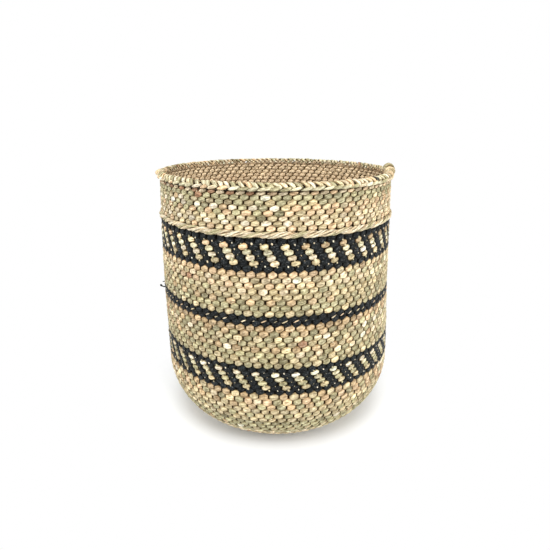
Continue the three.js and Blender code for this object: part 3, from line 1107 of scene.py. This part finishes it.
# The two bundles of stakes that cross in the middle of the base
def startStakes(node, alongX):
    low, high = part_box(node)
    size = high - low
    half, across = (size.x / 2, size.y / 2) if alongX else (size.y / 2, size.x / 2)
    along, side = np.eye(3)[:2] if alongX else (np.eye(3)[1], -np.eye(3)[0])
    t = np.linspace(-1, 1, 9)
    taper = np.interp(np.abs(t), [0, 0.9, 1], [1, 1, 0.5])[:, None]
    strands = []
    for i in range(4):
        run = t * half * rng.normal(1, 0.03)
        z = (low.z + high.z) / 2 + 0.0001 * np.cos(t * 3)
        path = along * run[:, None] + side * across * (i - 1.5) / 2 + upright * z[:, None]
        out = -side * across / 4 * taper
        strands.append((path, out, upright * size.z / 2 * taper, tint("tan")))
    return strands


for height, alongX in (("lower", True), ("upper", False)):
    node = f"start_{height}_stakes"
    bentPiece(f"{height}_stake_bundle", startStakes(node, alongX), "tan_straw", [node], cordGrass)
print("border, cord, ties, stakes and flecks")


# Camera: where it stands, how far it looks down, and its settings
cameraPlace = (0, -0.41942, 0.28476)
cameraTilt = 0.3405
cameraSettings = {
    "lens": 28.8,
    "sensor_width": 36,
    "sensor_fit": "HORIZONTAL",
    "shift_x": -0.0009,
    "clip_start": 0.01,
}
camera = addObject("camera", bpy.data.cameras.new("camera"))
camera.location = cameraPlace
camera.rotation_euler = (math.pi / 2 - cameraTilt, 0, 0)
for setting, value in cameraSettings.items():
    setattr(camera.data, setting, value)
bpy.context.scene.camera = camera

# Light: a bright soft studio, with the key in front and above
studio = {
    "sky": 0.7,
    # power, size, place and target of each light
    "key": (9.7, 0.6, (0.0, -0.5, 1.05), (0, 0, 0.16)),
    "fillRight": (8.4, 0.9, (0.9, -0.4, 0.36), (0, 0, 0.12)),
    "fillLeft": (5.8, 0.9, (-0.9, -0.4, 0.5), (0, 0, 0.16)),
    "low": (0.5, 0.3, (0.0, -0.6, 0.06), (0, 0, 0.03)),
    "floor": (0.8, 0.815, 0.825),
    "floorHalfSize": 4.0,
    "floorFade": (0.11, 0.18),
}
for name in ("key", "fillRight", "fillLeft", "low"):
    power, size, place, target = studio[name]
    light = bpy.data.lights.new(name, "AREA")
    light.energy = power
    light.size = size
    lamp = addObject(name, light)
    lamp.location = place
    lamp.rotation_euler = (Vector(target) - Vector(place)).to_track_quat("-Z", "Y").to_euler()

world = bpy.data.worlds.new("studio")
bpy.context.scene.world = world
world.use_nodes = True
sky = world.node_tree
background = sky.nodes["Background"]
background.inputs["Color"].default_value = (1, 1, 1, 1)
background.inputs["Strength"].default_value = studio["sky"]
seen = addNode(sky, "ShaderNodeBackground", {"Color": (1, 1, 1, 1), "Strength": 1.0})
rays = addNode(sky, "ShaderNodeLightPath").outputs["Is Camera Ray"]
choice = addNode(sky, "ShaderNodeMixShader", {0: rays, 1: background.outputs[0], 2: seen.outputs[0]})
sky.links.new(choice.outputs[0], sky.nodes["World Output"].inputs["Surface"])

# Floor: keeps the shadow near the basket and fades to plain white further out
floorMesh = bpy.data.meshes.new("floor")
half = studio["floorHalfSize"]
corners = [(-half, -half, 0), (half, -half, 0), (half, half, 0), (-half, half, 0)]
floorMesh.from_pydata(corners, [], [(0, 1, 2, 3)])
floor = addObject("floor", floorMesh)
floor.location.z = -0.0002
paper = bpy.data.materials.new("paper")
paper.use_nodes = True
tree = paper.node_tree
shader = tree.nodes["Principled BSDF"]
shader.inputs["Base Color"].default_value = (*studio["floor"], 1)
shader.inputs["Roughness"].default_value = 0.9
shader.inputs["Specular IOR Level"].default_value = 0.0
white = addNode(tree, "ShaderNodeEmission", {"Color": (1, 1, 1, 1), "Strength": 1.0}).outputs[0]
coords = addNode(tree, "ShaderNodeTexCoord").outputs["Object"]
coords = vectors(tree, "MULTIPLY", coords, (1.0, 1.5, 1.0))
distance = addNode(tree, "ShaderNodeVectorMath", {0: coords}, operation="LENGTH").outputs["Value"]
away = ramp(tree, distance, *studio["floorFade"])
rays = addNode(tree, "ShaderNodeLightPath").outputs["Is Camera Ray"]
shares = {0: times(tree, away, rays), 1: shader.outputs[0], 2: white}
fade = addNode(tree, "ShaderNodeMixShader", shares)
tree.links.new(fade.outputs[0], tree.nodes["Material Output"].inputs["Surface"])
floorMesh.materials.append(paper)

bpy.context.scene.view_settings.view_transform = "Standard"
